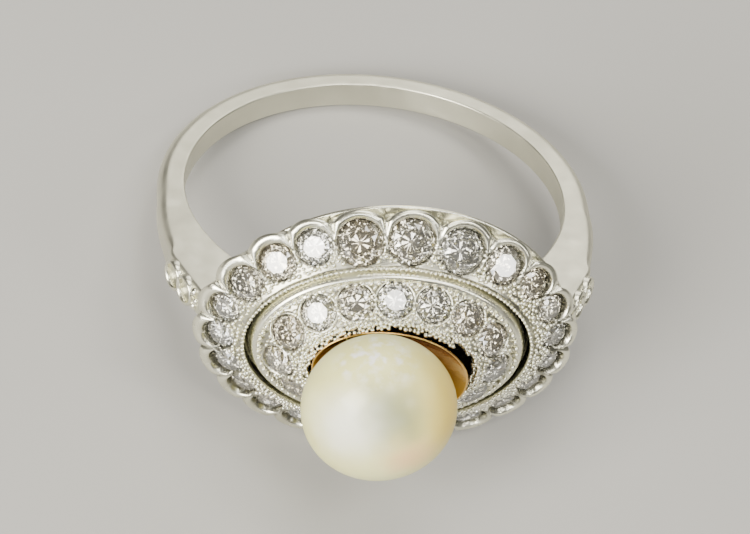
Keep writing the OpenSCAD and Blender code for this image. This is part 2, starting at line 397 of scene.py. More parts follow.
def with_seats(rise, base, around, seats):
    """The height field rise with the seats cut into it, and how far in a seat each point lies."""
    pit = smoothstep(0.045, -0.01, around)
    share = edge_distance(base.reshape(-1, 3), seats)[1].reshape(around.shape)
    floor = -SEAT_WALL - SEAT_CONE * np.clip(1 - share, 0, 1)
    return rise * (1 - pit) + floor * pit, pit


# Materials

# The Mix node's colour sockets, which share their names with its other ones
MIX_FIRST, MIX_SECOND, MIX_RESULT = 6, 7, 2

# Most of a noise lies between these two values
NOISE_LOW, NOISE_HIGH = 0.3, 0.7

# How far the places of the nacre's clouds, its painted reflection and its painted highlight are
# blurred, in millimetres
WOBBLE = 1.6


class Nodes:
    """A small helper to write a node material in a few lines."""

    def __init__(self, name):
        self.material = bpy.data.materials.new(name)
        self.material.use_nodes = True
        self.tree = self.material.node_tree
        self.shader = self.tree.nodes["Principled BSDF"]
        self.coords = self.add("ShaderNodeTexCoord").outputs["Object"]

    def add(self, kind, **values):
        """A node; a value goes to the input of its name, or else to the node's setting."""
        node = self.tree.nodes.new(kind)
        for key, value in values.items():
            if key in node.inputs:
                node.inputs[key].default_value = value
            else:
                setattr(node, key, value)
        return node

    def link(self, source, target):
        self.tree.links.new(source, target)

    def into(self, socket, source):
        self.link(source, self.shader.inputs[socket])

    def set(self, **values):
        for key, value in values.items():
            self.shader.inputs[key.replace("_", " ")].default_value = value

    def noise(self, scale, detail, rough=0.5, stretch=(1.0, 1.0, 1.0)):
        """A noise texture; scale is in spots for each millimetre."""
        mapping = self.add("ShaderNodeMapping", Scale=stretch)
        self.link(self.coords, mapping.inputs["Vector"])
        node = self.add("ShaderNodeTexNoise", Scale=scale / MM, Detail=detail, Roughness=rough)
        self.link(mapping.outputs["Vector"], node.inputs["Vector"])
        return node.outputs["Fac"]

    def ramp(self, source, stops):
        """A colour ramp from stops of (position, colour)."""
        node = self.add("ShaderNodeValToRGB")
        elements = node.color_ramp.elements
        while len(elements) < len(stops):
            elements.new(0.5)
        for element, (position, colour) in zip(elements, stops):
            element.position = position
            element.color = (*colour, 1.0)
        self.link(source, node.inputs["Fac"])
        return node.outputs["Color"]

    def range(self, source, from_low, from_high, low, high, **values):
        """source, spread from one range over another."""
        node = self.add("ShaderNodeMapRange", **values)
        for key, value in (("From Min", from_low), ("From Max", from_high),
                           ("To Min", low), ("To Max", high)):
            node.inputs[key].default_value = value
        self.link(source, node.inputs["Value"])
        return node.outputs["Result"]

    def spread(self, source, low, high):
        """Most of a noise spread over low to high."""
        return self.range(source, NOISE_LOW, NOISE_HIGH, low, high)

    def near(self, place, radius, share):
        """share at a place of the lying ring, in millimetres, fading to nothing at the radius.

        The place is blurred: each point is moved by up to half of WOBBLE before it's measured.
        """
        cloud = self.add("ShaderNodeTexNoise", Scale=0.45 / MM, Detail=2.0)
        self.link(self.coords, cloud.inputs["Vector"])
        moved = self.add("ShaderNodeVectorMath", operation="MULTIPLY_ADD")
        self.link(cloud.outputs["Color"], moved.inputs[0])
        moved.inputs[1].default_value = (WOBBLE * MM,) * 3
        self.link(self.coords, moved.inputs[2])
        far = self.add("ShaderNodeVectorMath", operation="DISTANCE")
        self.link(moved.outputs["Vector"], far.inputs[0])
        far.inputs[1].default_value = tuple((c + WOBBLE / 2) * MM for c in place)
        return self.range(far.outputs["Value"], radius * MM, 0.0, 0.0, share,
                          interpolation_type="SMOOTHERSTEP")

    def mix(self, factor, first, colour):
        node = self.add("ShaderNodeMix", data_type="RGBA")
        self.link(factor, node.inputs["Factor"])
        self.link(first, node.inputs[MIX_FIRST])
        node.inputs[MIX_SECOND].default_value = (*colour, 1.0)
        return node.outputs[MIX_RESULT]

    def with_painted_shade(self, colour, dark):
        """colour, darkened towards dark by the mesh's painted shade."""
        painted_shade = self.add("ShaderNodeAttribute", attribute_name="painted_shade")
        return self.mix(painted_shade.outputs["Fac"], colour, dark)

    def bump(self, source, height_mm, normal=None):
        node = self.add("ShaderNodeBump", Strength=1.0, Distance=height_mm * MM)
        self.link(source, node.inputs["Height"])
        if normal is not None:
            self.link(normal, node.inputs["Normal"])
        return node.outputs["Normal"]


# The white metal's painted shade; the gold's dull and clear tints and its painted shade
PAINTED_SHADE_COLOUR = (0.05, 0.045, 0.032)
GOLD_DULL, GOLD_CLEAR, GOLD_PAINTED_SHADE = (0.60, 0.36, 0.10), (0.78, 0.52, 0.19), (0.20, 0.08, 0.01)
CHAMPAGNE, WARM_WHITE, WHITE = (0.98, 0.88, 0.68), (1.0, 0.97, 0.85), (0.99, 0.985, 0.92)
CREAMS = (0.70, 0.66, 0.24), (0.81, 0.79, 0.34), (0.89, 0.88, 0.46)
FLOOR_DARK, FLOOR_PALE = (0.38, 0.374, 0.358), (0.41, 0.404, 0.387)

# Clouds in the nacre, with a painted reflection of the gold cup and a painted highlight among them:
# place on the lying ring in millimetres, radius, colour and strength; and the place, radius and
# colour of its small white spots
NACRE_CLOUDS_AND_REFLECTIONS = (
    # A painted reflection of the gold cup, at the pearl's right edge
    ((2.6, -14.2, 5.1), 4.9, (0.80, 0.56, 0.06), 0.95),
    ((-0.95, -15.8, 6.1), 2.4, (0.25, 0.27, 0.16), 0.85),
    ((0.31, -16.45, 4.27), 1.9, (0.86, 0.54, 0.27), 0.75),
    # A painted highlight: a pale glow at the pearl's left
    ((-2.46, -15.95, 5.29), 2.7, (0.97, 0.98, 0.85), 0.85),
)
NACRE_SPOTS_AT = (-1.6, -13.4, 7.3)
NACRE_SPOTS_R = 2.3
NACRE_SPOT = (0.92, 0.92, 0.84)


def platinum(name, roughness, dent_mm, colour):
    """White metal in soft patches of tint, with painted shade in its crevices, dented and
    scratched.
    """
    m = Nodes(name)
    dark = tuple(0.88 * c for c in colour)
    tint = m.ramp(m.noise(0.35, detail=4), [(NOISE_LOW, dark), (NOISE_HIGH, colour)])
    m.into("Base Color", m.with_painted_shade(tint, PAINTED_SHADE_COLOUR))
    m.into("Roughness", m.spread(m.noise(1.2, detail=5), 0.8 * roughness, 1.25 * roughness))
    dents = m.bump(m.noise(0.9, detail=2), dent_mm)
    lines = m.noise(14, detail=2, stretch=(1.0, 1.0, 0.12))
    m.into("Normal", m.bump(lines, 0.06 * dent_mm, dents))
    m.set(Metallic=1.0)
    return m.material


def yellow_gold(name):
    m = Nodes(name)
    tint = m.ramp(m.noise(0.6, detail=4), [(NOISE_LOW, GOLD_DULL), (NOISE_HIGH, GOLD_CLEAR)])
    # Painted shade darkens the gold in the dish and under the cup
    m.into("Base Color", m.with_painted_shade(tint, GOLD_PAINTED_SHADE))
    m.into("Roughness", m.spread(m.noise(2.0, detail=4), 0.12, 0.26))
    m.into("Normal", m.bump(m.noise(2.2, detail=3), 0.02))
    m.set(Metallic=1.0)
    return m.material


def diamond(name):
    """Old-cut diamond: warm white to champagne, no two stones quite alike."""
    m = Nodes(name)
    m.into("Base Color", m.ramp(m.noise(0.33, detail=1),
                                [(0.36, CHAMPAGNE), (0.5, WARM_WHITE), (0.62, WHITE)]))
    m.set(Roughness=0.0, IOR=2.42, Transmission_Weight=0.96)
    return m.material


def nacre(name):
    """Cream nacre with soft clouds of other tints at a few places, among them a painted reflection
    of the gold cup and a painted highlight, a clear lustre and tiny pits.
    """
    m = Nodes(name)
    stops = list(zip((NOISE_LOW, 0.5, NOISE_HIGH), CREAMS))
    tint = m.ramp(m.noise(0.22, detail=4, rough=0.55), stops)
    for place, radius, colour, share in NACRE_CLOUDS_AND_REFLECTIONS:
        tint = m.mix(m.near(place, radius, share), tint, colour)
    spots = m.add("ShaderNodeMath", operation="MULTIPLY")
    m.link(m.spread(m.noise(2.1, detail=3), -1.3, 1.7), spots.inputs[0])
    m.link(m.near(NACRE_SPOTS_AT, NACRE_SPOTS_R, 1.0), spots.inputs[1])
    m.into("Base Color", m.mix(spots.outputs["Value"], tint, NACRE_SPOT))
    m.into("Roughness", m.spread(m.noise(0.5, detail=3), 0.34, 0.48))
    waves = m.bump(m.noise(0.45, detail=3), 0.05)
    m.into("Normal", m.bump(m.noise(2.2, detail=3), 0.012, waves))
    m.set(Subsurface_Weight=0.2, Subsurface_Scale=0.0006, Subsurface_Radius=(1.0, 0.85, 0.6),
          Coat_Weight=0.45, Coat_Roughness=0.22)
    return m.material


def floor_paint(name):
    m = Nodes(name)
    m.into("Base Color", m.ramp(m.noise(0.02, detail=3),
                                [(NOISE_LOW, FLOOR_DARK), (NOISE_HIGH, FLOOR_PALE)]))
    m.set(Roughness=0.7)
    return m.material


SATIN = platinum("satin_platinum", roughness=0.38, dent_mm=0.0005, colour=(0.79, 0.775, 0.635))
BRIGHT = platinum("bright_platinum", roughness=0.25, dent_mm=0.0015, colour=(0.90, 0.885, 0.725))
BEAD = platinum("bead_platinum", roughness=0.2, dent_mm=0.0, colour=(0.94, 0.925, 0.775))
GOLD = yellow_gold("cup_gold")
DIAMOND = diamond("old_cut_diamond")
NACRE = nacre("nacre")


# The hoop and the shoulders: one loop of sections round the finger

# Outer radius, half width and the outer edges' rounding, at degrees from the right side towards
# the head
OUTER_R = ((-90, 9.7), (3.5, 9.71), (12.8, 9.93), (21.9, 10.19), (28.4, 10.46), (30.1, 10.67),
           (34, 10.75), (38.2, 10.9), (42, 11.08), (45.7, 11.32), (48.5, 11.6), (51, 11.35),
           (57, 11.0), (62, 9.9), (90, 9.7))
HALF_W = ((-90, 0.6), (0, 0.6), (12, 0.64), (21, 0.7), (48, 0.7), (54, 0.67), (62, 0.62), (90, 0.6))
ROUNDING = ((-90, 0.5), (0, 0.46), (14, 0.4), (26, 0.32), (30, 0.16), (47, 0.12), (55, 0.2),
            (90, 0.3))
# The tables' step and softness in degrees, and how many steps the softness reaches
TABLE_STEP = 0.25
TABLE_SOFT = 0.9
TABLE_REACH = 12
# The inner edges' rounding, how near a flat's extra points lie to its ends, and an edge's points
INNER_ROUNDING = 0.08
FLAT_EDGE = 0.08
ARC_POINTS = 8

# The sections' steps in degrees, finer where the shoulders meet the head
COARSE_STEP, FINE_STEP = 1.0, 0.4
FINE_FROM, FINE_TO = 20, 62
# How much painted shade darkens the bridge under the head, and the degrees between which that sets
# in
SHANK_DARK = 0.35
SHANK_DARK_FROM, SHANK_DARK_TO = 58, 64


def soft_table(table):
    """A table of (degrees, value) with its corners rounded."""
    fine = np.arange(-96, 96 + TABLE_STEP / 2, TABLE_STEP)
    offsets = np.arange(-TABLE_REACH, TABLE_REACH + 1) * TABLE_STEP
    weights = np.exp(-0.5 * (offsets / TABLE_SOFT) ** 2)
    sums = sum(w * np.interp(fine + o, *zip(*table)) for o, w in zip(offsets, weights))
    return fine, sums / weights.sum()


def shank_section(outer, half, rounding):
    """A section's outline as (radius, y) pairs, with extra points that keep its flats flat."""
    inner_r, inner_y = FINGER_R + INNER_ROUNDING, half - INNER_ROUNDING
    outer_r, outer_y = outer - rounding, half - rounding
    corners = ((outer_r, outer_y, rounding, 0), (inner_r, inner_y, INNER_ROUNDING, 90),
               (inner_r, -inner_y, INNER_ROUNDING, 180), (outer_r, -outer_y, rounding, 270))
    arcs = []
    for r, y, fillet, first in corners:
        turn = np.radians(first + np.linspace(0, 90, ARC_POINTS))
        arcs.append(np.stack([r + fillet * np.cos(turn), y + fillet * np.sin(turn)], axis=1))
    outline = []
    for k, arc in enumerate(arcs):
        after = arcs[(k + 1) % len(arcs)][0]
        step = after - arc[-1]
        length = np.linalg.norm(step)
        near = min(FLAT_EDGE, length / 3) / length
        outline.extend(arc)
        outline += [arc[-1] + near * step, after - near * step]
    return outline


def build_shank():
    half_turn = np.concatenate([np.arange(-90, FINE_FROM, COARSE_STEP),
                                np.arange(FINE_FROM, FINE_TO, FINE_STEP),
                                np.arange(FINE_TO, 90.1, COARSE_STEP)])
    angles = np.concatenate([half_turn, 180 - half_turn[-2:0:-1]])
    folded = np.where(angles <= 90, angles, 180 - angles)
    sizes = [np.interp(folded, *soft_table(table)) for table in (OUTER_R, HALF_W, ROUNDING)]
    rings = [[(r * math.cos(a), y, r * math.sin(a)) for r, y in shank_section(*section)]
             for a, *section in zip(np.radians(angles), *sizes)]
    painted_shade = SHANK_DARK * smoothstep(SHANK_DARK_FROM, SHANK_DARK_TO, folded)
    shank = rings_mesh("shank", rings, SATIN, close_rows=True, painted_shade=painted_shade)
    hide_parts("mount")


# The halo: outer wall, scalloped arches, stone bed, groove and underside

COLS_PER_ARCH = 36
HALO_BED_ROWS = 70
UNDERSIDE_ROWS = 24

# Rings of the outer wall, from the rail's neck up to the arches' shoulders: inset, share of the
# scallops' depth, height above the arches' tips, painted shade
HALO_WALL = (
    (0.62, 0.0, -0.44, 0.7),
    (0.42, 0.15, -0.37, 0.5),
    (0.28, 0.5, -0.26, 0.2),
    (0.15, 0.8, -0.15, 0.0),
    (0.05, 0.96, -0.04, 0.0),
    (0.0, 1.0, 0.05, 0.0),
)
WALL_SLOPE = 0.8 * math.tan(HALO_SLOPE)

# Rings of the groove beside the tier: distance inside the bed's edge, height, painted shade
GROOVE = (
    (0.02, HALO_H + HALO_RISE - 0.1, 0.2),
    (0.0, GROOVE_H + 0.05, 0.7),
    (0.05, GROOVE_H, 0.9),
    (0.7, GROOVE_H - 0.02, 1.0),
    (0.7, HALO_BASE_H, 0.8),
    (0.03, HALO_BASE_H, 0.3),
)
# The groove is paler at the lower left, where light falls in: how much, and where in degrees
GROOVE_PALER = 0.65
PALER_FROM, PALER_TO = (165, 185), (305, 285)

# An arch's most extra width and its least width, how far the bed between the arches and the whole
# metal are sunk, and how high the lip at the groove stands
ARCH_SPREAD = 0.07
ARCH_MIN_W = 0.03
BED_SUNK = 0.07
METAL_SUNK = 0.02
LIP_RISE = 0.03
# How much painted shade darkens the metal in a notch, on the bed, between two arches and underneath
NOTCH_DARK, BED_DARK, CREASE_DARK, UNDER_DARK = 0.8, 0.5, 0.7, 0.15


def build_halo(seats):
    along = np.arange(COLS_PER_ARCH) / COLS_PER_ARCH
    t = (NOTCHES[:-1, None] + along * STEPS[:, None]).ravel()
    edge = notch_depth(along[None]).ravel()
    from_middle = np.abs(np.tile(along, SCALLOPS) - 0.5)
    notch_dark = NOTCH_DARK * smoothstep(0.42, 0.49, from_middle)
    rings, painted_shade = [], []
    for inset, share, h, dark in HALO_WALL:
        rings.append(halo_oval(t, inset + share * edge, HALO_H + h + share * edge * WALL_SLOPE))
        painted_shade.append(np.maximum(dark, notch_dark))

    # Top: a height field over the sloping bed, with an arch of metal round each stone
    shares = np.linspace(0, 1, HALO_BED_ROWS) ** 1.05
    inset = between(edge, HALO_PLAN, shares[:, None])
    base = halo_oval(t, inset, HALO_H + inset * math.tan(HALO_SLOPE))
    around, other, cosine, arch_w = nearest(base, seats, COLS_PER_ARCH)
    half_gap = np.maximum(other - around, 0) / 2
    width = np.maximum(np.minimum(arch_w + ARCH_SPREAD, around + half_gap), ARCH_MIN_W)
    profile = np.sqrt(np.clip(1 - (2 * around / width - 1) ** 2, 0, 1))
    arch = ARCH_RISE * np.sqrt(np.clip(width / (ARCH_W + ARCH_SPREAD), 0, 1.1)) * profile
    outer = smoothstep(-0.65, -0.2, cosine)
    rise, _ = with_seats(arch * outer - BED_SUNK * (1 - outer) - METAL_SUNK, base, around, seats)
    lip = smoothstep(0.93, 0.97, shares)[:, None]
    rise = between(rise, LIP_RISE, lip)
    rings += list(base + bed_normal(HEAD_A, HEAD_B, t, HALO_SLOPE) * rise[..., None])
    # Painted shade on the bed between the arches, in the creases between two arches and in the
    # seats
    bed_dark = BED_DARK * (1 - outer) * (1 - lip)
    crease_dark = CREASE_DARK * smoothstep(0.05, 0.0, half_gap) * outer
    seat_dark = SEAT_DARK * smoothstep(0.08, 0.01, around)
    painted_shade += list(np.maximum(np.maximum(bed_dark, crease_dark), seat_dark))

    degrees = np.degrees(t)
    paler = GROOVE_PALER * smoothstep(*PALER_FROM, degrees) * smoothstep(*PALER_TO, degrees)
    for inward, h, dark in GROOVE:
        rings.append(halo_oval(t, HALO_PLAN + inward, h))
        painted_shade.append(dark * (1 - paler))
    for u in np.linspace(0, 1, UNDERSIDE_ROWS):
        inset = between(HALO_PLAN, UNDERSIDE_IN, u)
        rings.append(halo_oval(t, inset, between(HALO_BASE_H, UNDERSIDE_H, u)))
        painted_shade.append(UNDER_DARK)
    piece = rings_mesh("halo", rings, BRIGHT, close_rows=True, keep=outside_holes(seats),
                       painted_shade=painted_shade)


# Rings of the wall of a hole behind a stone: distance beyond the hole's radius and height, for
# those in the seat's cone; and the same for those at the far end, with the height above that end
HOLE_START = ((0.1, -0.62), (0.0, -0.7))
HOLE_END = ((0.0, -0.03), (0.04, -0.05), (0.1, -0.02), (0.14, 0.06))
# How much painted shade darkens the walls of the holes behind the stones
HOLE_DARK = 0.7


def build_hole_walls(name, seats, depths):
    """The short wall of the hole behind each stone, down to its depth under the seat."""
    points, faces = [], []
    turn = np.linspace(0, 2 * math.pi, 24, endpoint=False)
    for seat, depth in zip(seats, depths):
        first = len(points)
        rows = HOLE_START + tuple((out, h - depth) for out, h in HOLE_END)
        for out, h in rows:
            points += seat.circle(HOLE_PART * seat.radius + out, turn, h)
        faces += [tuple(first + i for i in reversed(f))
                  for f in grid_faces(len(rows), len(turn), False)]
    piece = make_mesh(name, np.array(points), faces, BRIGHT, [HOLE_DARK] * len(points))


def halo_hole_depth(seat):
    """How far along a halo seat's axis the halo's underside lies."""
    rate = (HALO_BASE_H - UNDERSIDE_H) / (HALO_PLAN - UNDERSIDE_IN)
    inset = (seat.arch + seat.radius) * math.cos(HALO_SLOPE)
    under = UNDERSIDE_H + rate * (inset - UNDERSIDE_IN)
    return (seat.centre[2] - under) / (math.cos(HALO_SLOPE) + rate * math.sin(HALO_SLOPE))


# The rail: a wire, and the ledge that joins it to the halo as (distance out, height)
RAIL_A, RAIL_B = 7.3, 5.98
RAIL_SHIFT = 0.45
RAIL_H = 8.65
RAIL_R = 0.1
RAIL_LEDGE = [(-0.3, 0.09), (-0.68, 0.07), (-0.7, -0.05), (-0.3, -0.08)]


def build_rail():
    """The thin rail under the arches; it stands further out towards the right end."""
    t = np.linspace(0, 2 * math.pi, 240, endpoint=False)
    wire = np.radians(np.arange(-90, 91, 20))
    section = [(RAIL_R * math.cos(a), RAIL_R * math.sin(a)) for a in wire] + RAIL_LEDGE
    rings = []
    for out, h in section:
        ring = oval(RAIL_A + out, RAIL_B + out, t, RAIL_H + h)
        ring[:, 0] += RAIL_SHIFT * np.sqrt((1 + np.cos(t)) / 2)
        rings.append(ring)
    piece = rings_mesh("rail", rings, BRIGHT, close_rows=True)


# The tier

COLS_PER_TIER_STONE = 44
TIER_BED_ROWS = 44

# Rings of the outer wall: distance beyond the rim, height above it, painted shade
TIER_WALL = (
    (-0.05, TIER_BASE_H - TIER_H, 1.0),
    (0.1, -0.62, 0.8),
    (0.15, -0.48, 0.3),
    (0.13, -0.32, 0.0),
    (0.08, -0.16, 0.0),
    (0.02, -0.03, 0.0),
    (-0.05, 0.06, 0.0),
    (-0.12, 0.09, 0.0),
    (-0.2, 0.09, 0.0),
)
# Where the bed starts inside the rim and above it
BED_IN, BED_UP = 0.24, 0.1
# The thin raised edge round each stone: its height, its distance from the stone and its width
COLLET_RISE, COLLET_AT, COLLET_W = 0.06, 0.08, 0.045
# How far the bed is sunk, and how much painted shade darkens the metal on it, underneath and at the
# foot
TIER_BED_SUNK = 0.04
TIER_BED_DARK, TIER_UNDER_DARK, TIER_FOOT_DARK = 0.6, 0.3, 0.7
# Rings of the opening and its flange, a sheet painted dark as shade: distance inside the opening,
# height above the rim, painted shade
TIER_FLANGE = (
    (0.03, TIER_RISE - 0.08, 0.3),
    (LIP_IN, 0.7, 1.0),
    (LIP_IN, 0.42, 1.0),
    (FLANGE_IN, 0.38, 1.0),
    (FLANGE_IN, 0.24, 0.6),
    (LIP_IN + 0.1, 0.2, 0.4),
)
# The underside's heights, at the opening and at the foot
TIER_UNDER_START, TIER_UNDER_END = TIER_H + 0.16, TIER_BASE_H + 0.4


def build_tier(seats):
    t = even_angles(TIER_MID_A, TIER_MID_B, TIER_STONES * COLS_PER_TIER_STONE)
    rings, painted_shade = [], []
    for out, h, dark in TIER_WALL:
        rings.append(oval(TIER_A + out, TIER_B + out, t, TIER_H + h))
        painted_shade.append(dark)

    # Bed: a height field that rises from the rim to the opening
    shares = np.linspace(0, 1, TIER_BED_ROWS)[:, None]
    base = oval(between(TIER_A - BED_IN, OPENING_A, shares),
                between(TIER_B - BED_IN, OPENING_B, shares),
                t, between(TIER_H + BED_UP, TIER_H + TIER_RISE, shares))
    around = nearest(base, seats, COLS_PER_TIER_STONE, offset=COLS_PER_TIER_STONE / 2)[0]
    collet = COLLET_RISE * np.exp(-((around - COLLET_AT) / COLLET_W) ** 2)
    rise, pit = with_seats(collet - TIER_BED_SUNK, base, around, seats)
    edge = np.maximum(smoothstep(0.08, 0.0, shares), smoothstep(0.94, 1.0, shares))
    rise = rise * (1 - edge * (1 - pit))
    rings += list(base + bed_normal(TIER_MID_A, TIER_MID_B, t, TIER_LEAN) * rise[..., None])
    # Painted shade on the bed between the collets and in the seats
    bed_dark = TIER_BED_DARK * (1 - edge) * smoothstep(0.08, 0.14, around)
    seat_dark = SEAT_DARK * smoothstep(0.07, 0.0, around)
    painted_shade += list(np.maximum(bed_dark, seat_dark))

    for inward, h, dark in TIER_FLANGE:
        rings.append(oval(OPENING_A - inward, OPENING_B - inward, t, TIER_H + h))
        painted_shade.append(dark)
    for u in np.linspace(0, 1, UNDERSIDE_ROWS):
        rings.append(oval(between(OPENING_A - LIP_IN, TIER_FOOT_A, u),
                          between(OPENING_B - LIP_IN, TIER_FOOT_B, u),
                          t, between(TIER_UNDER_START, TIER_UNDER_END, u)))
        painted_shade.append(TIER_UNDER_DARK)
    rings.append(oval(TIER_FOOT_A, TIER_FOOT_B, t, TIER_BASE_H))
    painted_shade.append(TIER_FOOT_DARK)
    piece = rings_mesh("tier", rings, BRIGHT, close_rows=True, keep=outside_holes(seats),
                       painted_shade=painted_shade)


# Beads and grains

# Rows of beads along ovals: name, the two half-axes, height, pitch, radius, unevenness and seed
BEAD_ROWS = (
    ("halo_milgrain", HEAD_A - HALO_PLAN + 0.06, HEAD_B - HALO_PLAN + 0.06,
     HALO_H + HALO_RISE + 0.03, 0.21, 0.085, 0.006, 11),
    ("tier_milgrain", TIER_A - 0.26, TIER_B - 0.26, TIER_H + 0.2, 0.34, 0.11, 0.01, 12),
    ("opening_grains", OPENING_A - 0.03, OPENING_B - 0.03,
     TIER_H + TIER_RISE - 0.03, 0.2, 0.115, 0.025, 13),
    ("opening_grains_low", OPENING_A - 0.16, OPENING_B - 0.16,
     TIER_H + TIER_RISE - 0.2, 0.22, 0.12, 0.03, 14),
)
BEAD_SIZES = (0.9, 1.08)

# The two grains between neighbouring stones: where they lie down the slope, in parts of a stone's
# radius, and how their sizes vary
GRAIN_AT = (0.76, -0.6)
GRAIN_SIZES = (0.9, 1.1)
# The smaller grains: tries, radii, least distance from a stone and, in parts of their own radius,
# least distance of their centre from another grain
BED_TRIES = 9000
SMALL_GRAIN_R = (0.07, 0.13)
GRAIN_ROOM = 0.06
GRAIN_APART = 0.72
# Where they lie: insets from the halo's oval and a depth; shares of the way up the tier's bed, with
# the inset and the height at its start
HALO_GRAINS_IN = (1.05, HALO_PLAN - 0.24)
HALO_GRAINS_SUNK = 0.03
TIER_GRAINS_SHARES = (0.12, 0.97)
TIER_GRAINS_IN, TIER_GRAINS_UP = 0.36, 0.14

# The collar's grains, crowded from just outside the opening's rim to just short of the cup
COLLAR_TRIES = 2600
COLLAR_DEGREES = (42, 262)
COLLAR_R = (0.08, 0.115)
COLLAR_APART = 0.55
COLLAR_OUT, COLLAR_SHORT = 0.04, 0.07
COLLAR_UP, COLLAR_CLIMB = 0.02, 0.16


def row_of_beads(name, a, b, h, pitch, radius, unevenness, seed):
    outline = oval(a, b, np.linspace(0, 2 * math.pi, 721), 0.0)
    length = np.sum(np.linalg.norm(np.diff(outline, axis=0), axis=1))
    count = int(round(length / pitch))
    rng = np.random.default_rng(seed)
    centres = oval(a, b, even_angles(a, b, count), h) + rng.normal(0, unevenness, (count, 3))
    beads_mesh(name, centres, radius * rng.uniform(*BEAD_SIZES, count))


def add_grain(points, radii, place, radius, apart):
    """Adds a grain where its centre lies further than apart radii from the other grains."""
    gap = np.linalg.norm(np.reshape(points, (-1, 3)) - place, axis=1) - np.array(radii)
    if gap.min(initial=np.inf) > apart * radius:
        points.append(place)
        radii.append(radius)


def build_grains(name, seats, places, outer_r, inner_r, seed):
    """The grains of metal that hold the stones, and smaller ones wherever there is room."""
    rng = np.random.default_rng(seed)
    points, radii = [], []
    for k, seat in enumerate(seats):
        after = seats[(k + 1) % len(seats)]
        middle = (seat.centre + after.centre) / 2
        down = (seat.down + after.down) / 2
        r = (seat.radius + after.radius) / 2
        for part, size in zip(GRAIN_AT, (outer_r, inner_r)):
            points.append(middle + down * (part * r))
            radii.append(size * rng.uniform(*GRAIN_SIZES))
    for place, gap in zip(places, edge_distance(places, seats)[0]):
        if gap >= GRAIN_ROOM:
            add_grain(points, radii, place, rng.uniform(*SMALL_GRAIN_R), GRAIN_APART)
    beads_mesh(name, points, radii)


def build_collar():
    """Grains that crowd the opening's rim up to the cup, at the left and at the lower side."""
    rng = np.random.default_rng(15)
    points, radii = [], []
    turns = np.radians(rng.uniform(*COLLAR_DEGREES, COLLAR_TRIES))
    for t, u in zip(turns, rng.uniform(0, 1, COLLAR_TRIES)):
        room = (OPENING_A - CUP_A) * abs(math.cos(t)) + (OPENING_B - CUP_B) * abs(math.sin(t))
        inward = (room - COLLAR_SHORT) * u - COLLAR_OUT
        h = TIER_H + TIER_RISE + COLLAR_UP + COLLAR_CLIMB * u
        place = oval(OPENING_A - inward, OPENING_B - inward, t, h)
        add_grain(points, radii, place, rng.uniform(*COLLAR_R), COLLAR_APART)
    beads_mesh("collar_grains", points, radii)


def halo_bed(seed):
    """Random places on the inner half of the halo's bed."""
    rng = np.random.default_rng(seed)
    t = rng.uniform(0, 2 * math.pi, BED_TRIES)
    inset = rng.uniform(*HALO_GRAINS_IN, BED_TRIES)
    return halo_oval(t, inset, HALO_H + inset * math.tan(HALO_SLOPE) - HALO_GRAINS_SUNK)


def tier_bed(seed):
    """Random places on the tier's bed."""
    rng = np.random.default_rng(seed)
    t = rng.uniform(0, 2 * math.pi, BED_TRIES)
    u = rng.uniform(*TIER_GRAINS_SHARES, BED_TRIES)
    return oval(between(TIER_A - TIER_GRAINS_IN, OPENING_A, u),
                between(TIER_B - TIER_GRAINS_IN, OPENING_B, u),
                t, between(TIER_H + TIER_GRAINS_UP, TIER_H + TIER_RISE, u))


# The section of a shoulder's collet: distance beyond the stone's radius and height
COLLET_SECTION = ((0.05, -0.35), (0.03, 0.0), (0.04, 0.14), (0.08, 0.23), (0.14, 0.26),
                  (0.19, 0.23), (0.22, 0.14), (0.22, 0.0), (0.2, -0.35))
# The beads beside a shoulder's last stone: distance down, distance to the side, radius; and how
# far their centres stand above it
SHOULDER_BEADS = ((0.56, 0.42, 0.1), (0.56, -0.42, 0.1), (-0.68, 0.36, 0.19), (-0.68, -0.36, 0.19),
                  (-0.86, 0.0, 0.16))
BEADS_UP = 0.02


def build_collets(shoulders):
    """A raised rim round each of the shoulders' stones, and the beads beside them."""
    points, radii = [], []
    turn = np.linspace(0, 2 * math.pi, 48, endpoint=False)
    for name, seats in zip(("right", "left"), shoulders):
        for k, seat in enumerate(seats):
            rings = [seat.circle(seat.radius + out, turn, h) for out, h in reversed(COLLET_SECTION)]
            piece = rings_mesh("collet_%s_%d" % (name, k + 1), rings, BRIGHT)
        for down, side, r in SHOULDER_BEADS:
            points.append(seats[-1].at(down, side, BEADS_UP))
            radii.append(r)
    beads_mesh("shoulder_beads", points, radii, detail=2)


# The cup and the pearl

# Rings of the cup, from its bottom over its rolled rim into the dish: share of the rim's
# half-axes, height above the rim, painted shade
CUP_SECTION = (
    (0.3, -0.95, 0.7), (0.42, -0.93, 0.6), (0.6, -0.78, 0.5), (0.75, -0.61, 0.4),
    (0.87, -0.42, 0.2), (0.95, -0.23, 0.0), (0.99, -0.1, 0.0), (1.0, -0.045, 0.0),
    (0.996, -0.012, 0.0), (0.986, 0.0, 0.0), (0.974, -0.01, 0.0), (0.96, -0.05, 0.1),
    (0.9, -0.17, 0.4), (0.82, -0.3, 0.7), (0.74, -0.4, 0.9), (0.6, -0.52, 0.9),
    (0.45, -0.62, 0.9), (0.3, -0.66, 0.9), (0.1, -0.67, 0.9),
)
STEM_ENDS = (HOOP_R + 0.05, CUP_H - 0.9)

# The pearl's mesh, the angle left open at its poles, and the waves round its middle: part of its
# radius, how many, and their phase
PEARL_ROWS, PEARL_COLS = 90, 144
PEARL_POLE = 0.004
PEARL_WAVES = ((0.005, 3, 0.7), (0.004, 2, -1.9))


